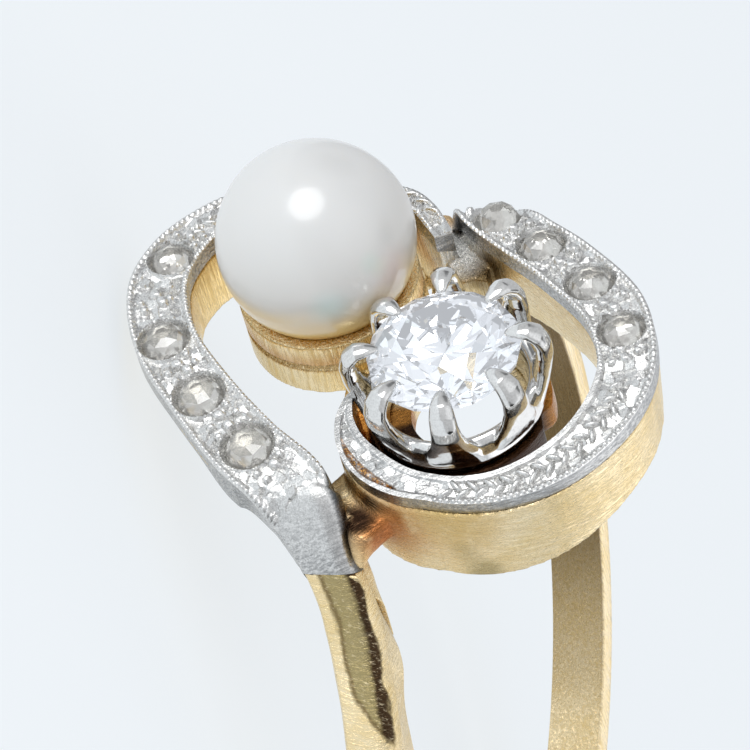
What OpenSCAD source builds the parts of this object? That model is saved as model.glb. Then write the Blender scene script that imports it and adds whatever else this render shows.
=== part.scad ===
// Crossover ring: two ribbons leave a finger hoop on opposite sides and curl round a pearl and a diamond.
// All lengths are in millimetres. The ring is drawn with its finger axis along Y and its head up Z,
// then laid on its side the way it comes to rest.

/* [Finger hoop] */
// Inside radius of the hoop
finger_r = 8.5; // [7.5:0.05:10.5]
// Thickness of the hoop at its back
hoop_t = 1.2; // [0.8:0.05:2]
// Width of the hoop along the finger
hoop_w = 1.32; // [1:0.05:3]
// Bevel on the hoop's outer edges
hoop_bevel = 0.12; // [0.05:0.01:0.4]
// Lean of the hoop's plane under the head
hoop_lean = 1; // [0:0.1:3]

/* [Head surface] */
// Height of the ribbons' top face over the hoop's centre
head_h = 11; // [10:0.05:13]
// Fall of the top face at one millimetre from the middle
head_fall = 0.02; // [0:0.005:0.05]
// Distance from the middle at which a ribbon begins to bend down to its shoulder
flat_half = 4; // [3:0.1:5]
// Length over which a ribbon bends down to its shoulder
bend_len = 0.6; // [0.3:0.05:1.5]
// Slope of the shoulders
shoulder_slope = 1.6; // [1:0.05:2.5]
// Distance from the middle at which the white metal ends on a shoulder
border_x = 5.33; // [4.8:0.01:6]
// Radius of the ribbons' underside round the finger
underside_r = 9.2; // [8.8:0.05:9.8]

/* [White metal] */
// Thickness of the white metal face
face_t = 0.45; // [0.3:0.01:0.8]
// Gap between the white metal and the yellow metal, and round each stone
seam = 0.02; // [0.01:0.005:0.05]
// Depth of a rose cut stone's seat
seat_depth = 0.3; // [0.15:0.01:0.35]

/* [Pearl] */
// Radius of the pearl
pearl_r = 2.32; // [2:0.01:3]
// Height of the pearl's centre over the hoop's centre
pearl_z = 12.1; // [11.5:0.05:13.5]
// Outside radius of the cup under the pearl
cup_r = 2.13; // [1.8:0.01:2.5]
// Height of the cup's rim over the hoop's centre
cup_rim_z = 10.72; // [10.3:0.01:11.2]
// Radius of the peg in the pearl
peg_r = 0.38; // [0.25:0.01:0.5]
// Height of the groove round the cup
groove_z = 10.02; // [9.7:0.01:10.4]

/* [Brilliant and claws] */
// Radius of the brilliant's girdle
girdle_r = 1.78; // [1.4:0.01:2]
// Height of the girdle over the hoop's centre
girdle_z = 11.72; // [11:0.01:12.5]
// Number of claws
claw_count = 8; // [6:1:10]
// Turn of the first claw about the stone's axis
claw_turn = 10; // [0:1:45]
// Width of a notch between two claws
notch_w = 0.86; // [0.5:0.01:1.1]
// Outside radius of the collar under the claws
collar_r = 2.15; // [1.9:0.01:2.5]
// Height of the collar's rim over the hoop's centre
collar_rim_z = 9.84; // [9.8:0.01:10.6]

/* [Rest on a side] */
// Lean of the finger axis when the ring lies on its side
rest_lean = -75.102; // [-90:0.001:-60]
// Turn about the head's axis when the ring lies on its side
rest_turn = -12.45; // [-20:0.01:20]

/* [Hidden] */

hoop_r = finger_r + hoop_t;
tiny = 0.01;
round_fn = 96;
spline_steps = 3;
profile_step = 0.25;
prism_low = 3;
prism_high = 13;
reach = 9;
span = 12;
wall_low = 8;
wall_t = 0.45;
floor_t = 0.3;
ledge_r = 1.15;
ledge_z = 9.7;
collar_t = 0.2;
groove_depth = 0.16;
groove_half = 0.09;
peg_root = 0.5;
peg_short = 0.3;
bore_stock = 0.15;
fine_fn = 180;
pearl_fn = 120;
peg_fn = 48;
solder_z = 9.75;
near_solder_low = 9.1;
shoulder_len = 0.9;
slot_lift = 0.6;
free_end_x = -5.5;
shoulder_blend = 0.25;
shoulder_from = 4.5;
hoop_top_z = 4.4;
hoop_end_x = 9;
lean_z = 5;
pearl_at = [2.01, 1.95];
brilliant_at = [-0.99, -1.54];
rest_shift = [0.019, -2.407, 3.592];

gold = [0.86, 0.7, 0.4];
platinum = [0.82, 0.82, 0.84];
nacre = [0.93, 0.91, 0.88];
clear_stone = [0.9, 0.94, 1];

// Centre line of a ribbon, seen from above: [x, y, width]
pearl_ribbon = [
    [-9, 0, 1.28],
    [-7.4, 0.15, 1.24],
    [-6.6, 0.33, 1.22],
    [-5.9, 0.54, 1.2],
    [-5.3, 0.87, 1.12],
    [-4.15, 1.6, 1.62],
    [-3.05, 2.93, 1.66],
    [-1.65, 4.22, 1.54],
    [-0.12, 5.35, 1.47],
    [1.5, 5.9, 1.4],
    [2.75, 5.74, 1.28],
    [3.75, 5.2, 1.08],
    [4.45, 4.45, 0.94],
    [4.82, 3.4, 0.8],
    [4.93, 2.4, 0.72],
    [4.9, 1.4, 0.62],
    [4.72, 0.62, 0.54],
    [4.3, 0.12, 0.52],
    [3.85, -0.22, 0.5],
    [3.35, -0.55, 0.44]
];
diamond_ribbon = [
    [9, 0, 1.28],
    [7.3, 0, 1.28],
    [6.25, -0.35, 1.26],
    [5.3, -0.85, 1.35],
    [4.3, -1.45, 1.42],
    [3.45, -2.4, 1.42],
    [2.5, -3.6, 1.46],
    [1.1, -4.95, 1.46],
    [-0.4, -5.55, 1.36],
    [-1.6, -5.48, 1.28],
    [-2.7, -4.95, 1.12],
    [-3.5, -4.15, 0.98],
    [-3.98, -3.2, 0.8],
    [-4.14, -2.3, 0.7],
    [-4.08, -1.5, 0.68],
    [-3.93, -0.8, 0.76],
    [-3.55, -0.1, 0.8],
    [-3.0, 0.44, 0.66],
    [-2.4, 0.7, 0.45],
    [-1.9, 0.73, 0.26],
    [-1.62, 0.68, 0.12]
];

// Rose cut stones: [x, y, radius, turn]
rose_cuts = [
    [-3.06, 2.87, 0.6, 10],
    [-1.68, 4.26, 0.58, 35],
    [-0.1, 5.4, 0.57, 5],
    [2.45, 5.78, 0.5, 20],
    [4.02, -1.7, 0.55, 15],
    [3.05, -2.93, 0.55, 40],
    [1.82, -4.3, 0.56, 0],
    [0.36, -5.3, 0.52, 25]
];

// Solder and bridges, seen from above: [x, y]
near_solder = [[-5.7, 0.1], [-4.9, -0.05], [-4.1, -0.6], [-3.4, 0], [-2.8, 0.75], [-3.6, 1.3], [-5.4, 0.8]];
far_solder = [
    [5.7, -0.1], [4.9, 0.15], [4.3, 0.3], [3.5, -0.3],
    [2.95, -0.9], [2.8, -1.5], [3.6, -1.4], [5.4, -0.8]
];
bridge_line = [[-4.2, -2.4], brilliant_at, pearl_at, [5, 2.5]];
bridge_w = 1;
bridge_t = 0.45;
// Web that closes the corner between collar and cup, seen from above: [x, y]
web = [[-2.3, 0.1], [-1.6, 0.95], [-0.6, 1.3], [0.4, 1.3], [0, 0], [-1.4, -0.6]];

function spline_point(a, b, c, d, t) =
    0.5 * (2 * b + (c - a) * t + (2 * a - 5 * b + 4 * c - d) * t * t + (3 * b - a - 3 * c + d) * t * t * t);

function smooth_rows(rows) = let (last = len(rows) - 1) [
    for (i = [0 : last - 1], k = [0 : spline_steps - 1])
        spline_point(rows[max(i - 1, 0)], rows[i], rows[i + 1], rows[min(i + 2, last)], k / spline_steps),
    rows[last]
];

// Unit vector to the left of the line at a row
function side_of(rows, i) = let (
    a = rows[max(i - 1, 0)],
    b = rows[min(i + 1, len(rows) - 1)],
    d = [b[0] - a[0], b[1] - a[1]]
) [-d[1], d[0]] / norm(d);

function along(rows, i) = let (n = side_of(rows, i)) [n[1], -n[0]];

// One edge of a ribbon, moved out by grow at its side and at its free end
function edge(rows, side, grow) = let (last = len(rows) - 1) [
    for (i = [0 : last])
        [rows[i][0], rows[i][1]] + side_of(rows, i) * side * (rows[i][2] / 2 + grow)
            + (i == last ? along(rows, i) * grow : [0, 0])
];

function reversed(list) = [for (i = [len(list) - 1 : -1 : 0]) list[i]];

function smooth_max(a, b, s) = (a + b + sqrt((a - b) * (a - b) + s * s)) / 2;

function bent_z(a) = let (
    slope_in = 2 * head_fall * flat_half,
    t = min(max(a - flat_half, 0), bend_len),
    past = max(a - flat_half - bend_len, 0)
) head_h - head_fall * flat_half * flat_half
    - slope_in * t - (shoulder_slope - slope_in) * t * t / (2 * bend_len) - shoulder_slope * past;

// Height of a ribbon's top face. Its shoulder lies towards side, and there it bends down to the hoop
function head_z(x, side) = let (a = x * side, soft = shoulder_blend * min(a - flat_half, 1))
    a <= flat_half ? head_h - head_fall * a * a
        : smooth_max(bent_z(a), sqrt(pow(hoop_r - 2 * tiny, 2) - a * a), soft);

function head_slope(x, side) = (head_z(x + tiny, side) - head_z(x - tiny, side)) / (2 * tiny);

function blend(a, b, t) = a + (b - a) * t * t * (3 - 2 * t);

// The underside drops from the head's radius into the bore over the length of the shoulder
function shoulder_share(x) = min(max((x - shoulder_from) / shoulder_len, 0), 1);

function under_radius(x) = blend(underside_r, finger_r - bore_stock, shoulder_share(x));

function under_z(x) = sqrt(max(pow(under_radius(x), 2) - x * x, 0));

function below_face(x, side, depth) = let (m = head_slope(x, side), n = norm([m, 1]))
    [x + depth * m / n, head_z(x, side) - depth / n];

function stations(from, to) =
    [for (i = [0 : round((to - from) / profile_step)]) from + i * profile_step];

module ribbon_prism(rows, grow = 0) {
    smooth = smooth_rows(rows);
    translate([0, 0, prism_low])
        linear_extrude(prism_high - prism_low)
            polygon(concat(edge(smooth, 1, grow), reversed(edge(smooth, -1, grow))));
}

// Extrudes a shape drawn in X and Z along the finger
module along_finger(half) {
    translate([0, half, 0]) rotate([90, 0, 0]) linear_extrude(2 * half) children();
}

// Mirrors a shape that is drawn with its shoulder towards +X when its shoulder lies towards -X
module towards(side) {
    mirror([side < 0 ? 1 : 0, 0]) children();
}

// A ribbon as it is seen along the finger
module body_profile(side) {
    xs = stations(free_end_x, hoop_end_x);
    towards(side)
        polygon(concat([for (x = xs) [x, head_z(x, 1)]], reversed([for (x = xs) [x, under_z(x)]])));
}

// Slice of a ribbon from its top face down to a depth, from its free end to the border on its shoulder
module face_profile(side, depth, lift, border) {
    xs = concat(stations(free_end_x, border - 0.1), [border]);
    top = [for (x = xs) below_face(x, 1, -lift)];
    low = [for (x = xs) below_face(x, 1, depth)];
    towards(side) polygon(concat(top, reversed(low)));
}

module ribbon_body(rows, side) {
    intersection() {
        ribbon_prism(rows);
        along_finger(reach) body_profile(side);
    }
}

// Room in the yellow metal for a ribbon's white metal face
module face_room(rows, side) {
    intersection() {
        ribbon_prism(rows, seam);
        along_finger(reach) face_profile(side, face_t + seam, slot_lift, border_x + seam);
    }
}

module stone_frame(row) {
    x = row[0];
    side = row[1] > 0 ? -1 : 1;
    translate([x, row[1], head_z(x, side)])
        rotate([0, -atan(head_slope(x, side)), 0])
            rotate([0, 0, row[3]])
                children();
}

module seats(first, last) {
    for (i = [first : last])
        stone_frame(rose_cuts[i])
            translate([0, 0, -seat_depth])
                cylinder(h = seat_depth + 1, r = rose_cuts[i][2] + seam, $fn = round_fn);
}

module ribbon_face(rows, side, first, last) {
    difference() {
        intersection() {
            ribbon_prism(rows);
            along_finger(reach) face_profile(side, face_t, 0, border_x);
        }
        seats(first, last);
    }
}

module leaning() {
    translate([0, 0, lean_z]) rotate([-hoop_lean, 0, 0]) translate([0, 0, -lean_z]) children();
}

module hoop() {
    half = hoop_w / 2;
    intersection() {
        leaning() rotate([90, 0, 0])
            rotate_extrude($fn = fine_fn)
                polygon([
                    [finger_r - bore_stock, -half],
                    [hoop_r - hoop_bevel, -half],
                    [hoop_r, -half + hoop_bevel],
                    [hoop_r, half - hoop_bevel],
                    [hoop_r - hoop_bevel, half],
                    [finger_r - bore_stock, half]
                ]);
        translate([-span, -reach, -span]) cube([2 * span, 2 * reach, span + hoop_top_z]);
    }
}

module solder(points, low) {
    intersection() {
        translate([0, 0, low]) linear_extrude(solder_z - low) polygon(points);
        along_finger(reach) body_profile(sign(points[0][0]));
    }
}

module ring_of(r, low, high) {
    translate([0, 0, low]) cylinder(h = high - low, r = r, $fn = round_fn);
}

// Cuts the cup, collar and bridge a little below the ribbons' own underside
module underside_cut() {
    along_finger(reach) circle(r = underside_r - seam, $fn = fine_fn);
}

module cup() {
    hollow_r = pearl_r + 2 * seam;
    floor_z = pearl_z - hollow_r - floor_t;
    translate([pearl_at[0], pearl_at[1], 0])
        difference() {
            ring_of(cup_r, wall_low, cup_rim_z);
            translate([0, 0, pearl_z]) sphere(r = hollow_r, $fn = fine_fn);
            ring_of(cup_r - wall_t, wall_low - 1, floor_z);
            translate([0, 0, groove_z])
                rotate_extrude($fn = round_fn)
                    polygon([
                        [cup_r - groove_depth, 0],
                        [cup_r + tiny, -groove_half],
                        [cup_r + tiny, groove_half]
                    ]);
        }
}

module peg() {
    translate([pearl_at[0], pearl_at[1], 0])
        ring_of(peg_r, pearl_z - pearl_r - peg_root, pearl_z - peg_short);
}

module collar() {
    translate([brilliant_at[0], brilliant_at[1], 0])
        difference() {
            ring_of(collar_r, wall_low, collar_rim_z);
            ring_of(collar_r - collar_t, ledge_z, collar_rim_z + 1);
            ring_of(ledge_r, wall_low - 1, ledge_z + 1);
        }
}

module bridge() {
    difference() {
        intersection() {
            union() {
                for (i = [0 : 2]) bridge_bar(bridge_line[i], bridge_line[i + 1]);
                translate([0, 0, prism_low]) linear_extrude(prism_high - prism_low) polygon(web);
            }
            along_finger(reach) circle(r = underside_r + bridge_t, $fn = fine_fn);
        }
        translate([brilliant_at[0], brilliant_at[1], 0]) ring_of(ledge_r, wall_low - 1, prism_high);
        translate([pearl_at[0], pearl_at[1], 0]) ring_of(cup_r - wall_t, wall_low - 1, ledge_z - floor_t);
    }
}

module bridge_bar(a, b) {
    d = b - a;
    translate([a[0], a[1], prism_low])
        rotate([0, 0, atan2(d[1], d[0])])
            translate([0, -bridge_w / 2, 0])
                cube([norm(d), bridge_w, prism_high - prism_low]);
}

module mount_metal() {
    difference() {
        union() {
            hoop();
            ribbon_body(pearl_ribbon, -1);
            ribbon_body(diamond_ribbon, 1);
            solder(near_solder, near_solder_low);
            solder(far_solder, prism_low);
            difference() {
                union() {
                    cup();
                    collar();
                    bridge();
                }
                underside_cut();
            }
            peg();
        }
        face_room(pearl_ribbon, -1);
        face_room(diamond_ribbon, 1);
        leaning() along_finger(reach) circle(r = finger_r, $fn = fine_fn);
    }
}

// Outline of one side of the coronet's wall and claws: [radius, height over the girdle]
coronet_wall = [
    [1.3, -1.98], [1.78, -1.98], [1.94, -1.82], [2.0, -1.5], [2.14, -0.9], [2.27, -0.4], [2.3, -0.1],
    [2.24, 0.16], [2.1, 0.36], [1.88, 0.47], [1.68, 0.46], [1.58, 0.37], [1.55, 0.245],
    [1.7, 0.155], [1.82, 0.075], [1.82, -0.08], [1.72, -0.35], [1.52, -0.95], [1.36, -1.4]
];
notch_low = -1.02;
notch_side_z = -0.2;
notch_top_z = 0.6;
notch_flare = 0.1;

module notch() {
    half = notch_w / 2;
    lower = [for (i = [0 : 8]) [half * cos(180 + i * 22.5), notch_low + half * sin(180 + i * 22.5)]];
    right = [[half, notch_side_z], [half + notch_flare, notch_top_z]];
    left = [[-half - notch_flare, notch_top_z], [-half, notch_side_z]];
    rotate([90, 0, 90]) linear_extrude(pearl_r) polygon(concat(lower, right, left));
}

module coronet() {
    difference() {
        rotate_extrude($fn = round_fn) polygon(coronet_wall);
        for (i = [0 : claw_count - 1])
            rotate([0, 0, claw_turn + (i + 0.5) * 360 / claw_count]) notch();
    }
}

function ring_points(r, z, count, turn) =
    [for (i = [0 : count - 1]) [r * cos(turn + i * 360 / count), r * sin(turn + i * 360 / count), z]];

module brilliant_cut(r) {
    table_r = 0.55 * r;
    crown_h = 0.32 * r;
    pavilion_h = 0.86 * r;
    half_girdle = 0.025 * r;
    star_r = 0.79 * r;
    star_z = half_girdle + crown_h * (r - star_r * cos(22.5)) / (r - table_r);
    low_r = 0.27 * r;
    low_z = -half_girdle - pavilion_h * (1 - low_r * cos(22.5) / r);
    points = concat(
        ring_points(table_r, half_girdle + crown_h, 8, 0),
        ring_points(star_r, star_z, 8, 22.5),
        ring_points(r, half_girdle, 16, 0),
        ring_points(r, -half_girdle, 16, 0),
        ring_points(low_r, low_z, 8, 22.5),
        [[0, 0, -half_girdle - pavilion_h]]
    );
    faces = concat(
        [[7, 6, 5, 4, 3, 2, 1, 0]],
        [for (i = [0 : 7]) let (j = (i + 1) % 8) [i, j, 8 + i]],
        [for (i = [0 : 7]) [i, 8 + i, 16 + 2 * i]],
        [for (i = [0 : 7]) let (j = (i + 7) % 8) [i, 16 + 2 * i, 8 + j]],
        [for (i = [0 : 7]) [8 + i, 17 + 2 * i, 16 + 2 * i]],
        [for (i = [0 : 7]) [8 + i, 16 + (2 * i + 2) % 16, 17 + 2 * i]],
        [for (i = [0 : 15]) let (j = (i + 1) % 16) [16 + i, 16 + j, 32 + i]],
        [for (i = [0 : 15]) let (j = (i + 1) % 16) [16 + j, 32 + j, 32 + i]],
        [for (i = [0 : 7]) [32 + 2 * i, 33 + 2 * i, 48 + i]],
        [for (i = [0 : 7]) [33 + 2 * i, 32 + (2 * i + 2) % 16, 48 + i]],
        [for (i = [0 : 7]) [32 + 2 * i, 48 + i, 56]],
        [for (i = [0 : 7]) let (j = (i + 7) % 8) [32 + 2 * i, 56, 48 + j]]
    );
    polyhedron(points = points, faces = faces);
}

// Flat base, two bands of facets and a small table
module rose_cut(r) {
    low = -seat_depth + seam;
    girdle_t = 0.1;
    shoulder_z = 0.12;
    top_z = 0.2;
    points = concat(
        ring_points(r - seam, low, 8, 0),
        ring_points(r, low + girdle_t, 8, 0),
        ring_points(r * 0.68, shoulder_z, 8, 22.5),
        ring_points(r * 0.3, top_z, 8, 0)
    );
    faces = concat(
        [[0, 1, 2, 3, 4, 5, 6, 7]],
        [for (i = [0 : 7]) let (j = (i + 1) % 8) [i, 8 + i, j]],
        [for (i = [0 : 7]) let (j = (i + 1) % 8) [j, 8 + i, 8 + j]],
        [for (i = [0 : 7]) let (j = (i + 1) % 8) [8 + i, 16 + i, 8 + j]],
        [for (i = [0 : 7]) let (j = (i + 1) % 8) [8 + j, 16 + i, 16 + j]],
        [for (i = [0 : 7]) let (j = (i + 1) % 8) [16 + i, 24 + j, 16 + j]],
        [for (i = [0 : 7]) let (j = (i + 1) % 8) [16 + i, 24 + i, 24 + j]],
        [[31, 30, 29, 28, 27, 26, 25, 24]]
    );
    polyhedron(points = points, faces = faces);
}

module lying() {
    translate(rest_shift) rotate([rest_lean, 0, 0]) rotate([0, 0, rest_turn]) children();
}

module gold_mount() {
    color(gold) lying() mount_metal();
}

module platinum_ribbon_pearl() {
    color(platinum) lying() ribbon_face(pearl_ribbon, -1, 0, 3);
}

module platinum_ribbon_diamond() {
    color(platinum) lying() ribbon_face(diamond_ribbon, 1, 4, 7);
}

module claw_setting() {
    color(platinum) lying() translate([brilliant_at[0], brilliant_at[1], girdle_z]) coronet();
}

module brilliant() {
    color(clear_stone) lying()
        translate([brilliant_at[0], brilliant_at[1], girdle_z])
            rotate([0, 0, claw_turn])
                brilliant_cut(girdle_r);
}

module pearl() {
    color(nacre) lying()
        translate([pearl_at[0], pearl_at[1], pearl_z])
            difference() {
                sphere(r = pearl_r, $fn = pearl_fn);
                translate([0, 0, -pearl_r - 1]) cylinder(h = pearl_r + 1, r = peg_r + seam, $fn = peg_fn);
            }
}

module rose_diamond(number) {
    row = rose_cuts[number - 1];
    color(clear_stone) lying() stone_frame(row) rose_cut(row[2]);
}

gold_mount();
platinum_ribbon_pearl();
platinum_ribbon_diamond();
claw_setting();
brilliant();
pearl();
rose_diamond(1);  // rose_diamond_1
rose_diamond(2);  // rose_diamond_2
rose_diamond(3);  // rose_diamond_3
rose_diamond(4);  // rose_diamond_4
rose_diamond(5);  // rose_diamond_5
rose_diamond(6);  // rose_diamond_6
rose_diamond(7);  // rose_diamond_7
rose_diamond(8);  // rose_diamond_8
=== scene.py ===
from math import asin, atan, cos, pi, radians, sin

import bmesh
import bpy
import numpy as np
from mathutils import Matrix, Vector, noise


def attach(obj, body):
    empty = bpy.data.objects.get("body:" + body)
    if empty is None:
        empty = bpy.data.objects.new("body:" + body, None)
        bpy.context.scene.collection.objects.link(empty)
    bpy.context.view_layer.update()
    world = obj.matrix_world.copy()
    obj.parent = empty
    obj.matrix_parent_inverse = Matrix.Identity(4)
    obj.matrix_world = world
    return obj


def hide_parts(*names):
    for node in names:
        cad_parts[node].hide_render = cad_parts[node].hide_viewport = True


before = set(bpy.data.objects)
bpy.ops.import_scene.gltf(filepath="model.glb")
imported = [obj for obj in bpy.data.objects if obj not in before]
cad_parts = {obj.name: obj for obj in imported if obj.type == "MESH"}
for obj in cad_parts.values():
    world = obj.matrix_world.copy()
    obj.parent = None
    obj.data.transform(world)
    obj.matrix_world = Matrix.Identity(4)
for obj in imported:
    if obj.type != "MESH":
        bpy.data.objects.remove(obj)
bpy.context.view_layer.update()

# how the ring lies on its side, as in the part's source
resting = {"lean": -75.102, "turn": -12.45, "shift": (0.019, -2.407, 3.592), "metresPerMm": 0.001}
restLean, restTurn = radians(resting["lean"]), radians(resting["turn"])
leanTurn = Matrix.Rotation(restLean, 4, "X") @ Matrix.Rotation(restTurn, 4, "Z")
layDown = Matrix.Scale(resting["metresPerMm"], 4) @ Matrix.Translation(resting["shift"]) @ leanTurn
standUp = layDown.inverted()

# sizes of the ring that the looks follow
ring = {
    "fingerR": 8.5, "hoopT": 1.2, "headH": 11.0, "headFall": 0.02, "flatHalf": 4.0, "bendLen": 0.6,
    "shoulderSlope": 1.6, "shoulderBlend": 0.25, "tiny": 0.01, "borderX": 5.33, "faceT": 0.45,
    "pearlAt": (2.01, 1.95, 12.1), "pearlR": 2.32, "stoneAt": (-0.99, -1.54, 11.72),
}

# centre lines of the two ribbons, seen from above: x, y, width
pearlRibbon = [
    (-9, 0, 1.28), (-7.4, 0.15, 1.24), (-6.6, 0.33, 1.22), (-5.9, 0.54, 1.2), (-5.3, 0.87, 1.12),
    (-4.15, 1.6, 1.62), (-3.05, 2.93, 1.66), (-1.65, 4.22, 1.54), (-0.12, 5.35, 1.47), (1.5, 5.9, 1.4),
    (2.75, 5.74, 1.28), (3.75, 5.2, 1.08), (4.45, 4.45, 0.94), (4.82, 3.4, 0.8), (4.93, 2.4, 0.72),
    (4.9, 1.4, 0.62), (4.72, 0.62, 0.54), (4.3, 0.12, 0.52), (3.85, -0.22, 0.5), (3.35, -0.55, 0.44),
]
diamondRibbon = [
    (9, 0, 1.28), (7.3, 0, 1.28), (6.25, -0.35, 1.26), (5.3, -0.85, 1.35), (4.3, -1.45, 1.42),
    (3.45, -2.4, 1.42), (2.5, -3.6, 1.46), (1.1, -4.95, 1.46), (-0.4, -5.55, 1.36), (-1.6, -5.48, 1.28),
    (-2.7, -4.95, 1.12), (-3.5, -4.15, 0.98), (-3.98, -3.2, 0.8), (-4.14, -2.3, 0.7), (-4.08, -1.5, 0.68),
    (-3.93, -0.8, 0.76), (-3.55, -0.1, 0.8), (-3.0, 0.44, 0.66), (-2.4, 0.7, 0.45), (-1.9, 0.73, 0.26),
    (-1.62, 0.68, 0.12),
]
# rose cut stones on each: x, y, radius
pearlStones = [(-3.06, 2.87, 0.6), (-1.68, 4.26, 0.58), (-0.1, 5.4, 0.57), (2.45, 5.78, 0.5)]
diamondStones = [(4.02, -1.7, 0.55), (3.05, -2.93, 0.55), (1.82, -4.3, 0.56), (0.36, -5.3, 0.52)]
# steps along a ribbon's line: curve points between two rows, for the walls, and for finding a place
lineWork = {"between": 24, "walls": 0.05, "places": 0.02}


def softStep(value, low, high):
    t = np.clip((value - low) / (high - low), 0, 1)
    return t * t * (3 - 2 * t)


def bentZ(a):
    fall, flat, run, slope = (ring[k] for k in ("headFall", "flatHalf", "bendLen", "shoulderSlope"))
    slopeIn = 2 * fall * flat
    t = np.clip(a - flat, 0, run)
    top = ring["headH"] - fall * flat ** 2
    bend = (slope - slopeIn) * t * t / (2 * run)
    return top - slopeIn * t - bend - slope * np.maximum(a - flat - run, 0)


def headZ(x, side):
    # height of a ribbon's top face over the hoop's centre
    a = np.asarray(x, float) * side
    flat = ring["headH"] - ring["headFall"] * a * a
    hoopR = ring["fingerR"] + ring["hoopT"] - 2 * ring["tiny"]
    hoopZ = np.sqrt(np.maximum(hoopR ** 2 - a * a, 0))
    bent = bentZ(a)
    soft = ring["shoulderBlend"] * np.minimum(np.maximum(a - ring["flatHalf"], 0), 1)
    blend = (bent + hoopZ + np.sqrt((bent - hoopZ) ** 2 + soft ** 2)) / 2
    return np.where(a <= ring["flatHalf"], flat, blend)


def headSlope(x, side):
    step = ring["tiny"]
    return (headZ(x + step, side) - headZ(x - step, side)) / (2 * step)


def ribbonLine(rows, step):
    # the smooth centre line through a ribbon's rows, in even steps: points, left normals, widths, distances
    rows = np.array(rows, float)
    last = len(rows) - 1
    dense = []
    for i in range(last):
        a, b = rows[max(i - 1, 0)], rows[i]
        c, d = rows[i + 1], rows[min(i + 2, last)]
        t = np.linspace(0, 1, lineWork["between"], endpoint=False)[:, None]
        line = 2 * b + (c - a) * t + (2 * a - 5 * b + 4 * c - d) * t ** 2
        dense.append(0.5 * (line + (3 * b - a - 3 * c + d) * t ** 3))
    dense = np.concatenate(dense + [rows[-1:]])
    run = np.concatenate([[0], np.cumsum(np.linalg.norm(np.diff(dense[:, :2], axis=0), axis=1))])
    along = np.linspace(0, run[-1], int(run[-1] / step) + 1)
    even = np.stack([np.interp(along, run, dense[:, k]) for k in range(3)], 1)
    ahead = np.gradient(even[:, :2], axis=0)
    ahead /= np.linalg.norm(ahead, axis=1)[:, None]
    return even[:, :2], np.stack([-ahead[:, 1], ahead[:, 0]], 1), even[:, 2], along


def alongOf(rows, x, y):
    # distance along a ribbon to the place nearest to x, y
    points, _, _, along = ribbonLine(rows, lineWork["places"])
    return along[np.argmin(np.hypot(points[:, 0] - x, points[:, 1] - y))]


# Meshes: how close points have to be to merge, and the turn between faces that stays a crease, in degrees.
meshWork = {"weld": 0.0008, "sliver": 0.0005, "copyWeld": 0.0005, "crease": 32, "smoothing": 0.5}


def selectOnly(*pieces):
    # the last one becomes active
    bpy.ops.object.select_all(action="DESELECT")
    for piece in pieces:
        piece.select_set(True)
    bpy.context.view_layer.objects.active = pieces[-1]


def placed(name, data):
    # a new object of this name in the scene
    thing = bpy.data.objects.new(name, data)
    bpy.context.scene.collection.objects.link(thing)
    return thing


def setPoints(piece, points):
    piece.data.vertices.foreach_set("co", points.ravel())


def rolledSheet(name, loops, marks=None):
    # a grid rolled round loops of points, its seam merged and its ends filled; marks are values to paint by
    rows, columns = loops.shape[:2]
    bpy.ops.mesh.primitive_grid_add(x_subdivisions=columns, y_subdivisions=rows - 1, size=1)
    piece = bpy.context.object
    piece.name = piece.data.name = name
    setPoints(piece, np.concatenate([loops, loops[:, :1]], 1))
    for mark, values in (marks or {}).items():
        layer = piece.data.attributes.new(mark, "FLOAT", "POINT")
        layer.data.foreach_set("value", np.concatenate([values, values[:, :1]], 1).ravel())
    bpy.ops.object.mode_set(mode="EDIT")
    bpy.ops.mesh.select_all(action="SELECT")
    bpy.ops.mesh.remove_doubles(threshold=meshWork["weld"])
    bpy.ops.mesh.dissolve_degenerate(threshold=meshWork["sliver"])
    bpy.ops.mesh.select_all(action="SELECT")
    bpy.ops.mesh.fill_holes(sides=0)
    bpy.ops.mesh.normals_make_consistent(inside=False)
    bpy.ops.object.mode_set(mode="OBJECT")
    return piece


def standingCopy(node, name):
    # a CAD node's mesh, merged and stood up in millimetres
    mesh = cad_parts[node].data.copy()
    mesh.name = name
    piece = placed(name, mesh)
    mesh.transform(standUp)
    if "custom_normal" in mesh.attributes:
        mesh.attributes.remove(mesh.attributes["custom_normal"])
    work = bmesh.new()
    work.from_mesh(mesh)
    bmesh.ops.remove_doubles(work, verts=work.verts, dist=meshWork["copyWeld"])
    work.to_mesh(mesh)
    work.free()
    selectOnly(piece)
    return piece


def remeshed(piece, voxel):
    # one even skin over all the bodies of a piece
    piece.data.remesh_voxel_size = voxel
    piece.data.use_remesh_fix_poles = False
    bpy.ops.object.voxel_remesh()


def smoothed(piece, rounds, group=""):
    soft = piece.modifiers.new("soft", "SMOOTH")
    soft.factor = meshWork["smoothing"]
    soft.iterations = rounds
    soft.vertex_group = group
    bpy.ops.object.modifier_apply(modifier=soft.name)


def smoothByAngle(piece):
    selectOnly(piece)
    bpy.ops.object.shade_smooth_by_angle(angle=radians(meshWork["crease"]))


def layPiece(piece, material, node):
    # puts a finished piece where the part lies, gives it its material, hangs it under the root, and hides the
    # CAD node it stands in for
    piece.data.transform(piece.matrix_world)
    piece.matrix_world = Matrix.Identity(4)
    piece.data.transform(layDown)
    piece.data.materials.clear()
    piece.data.materials.append(material)
    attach(piece, "root")
    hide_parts(node)


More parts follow.
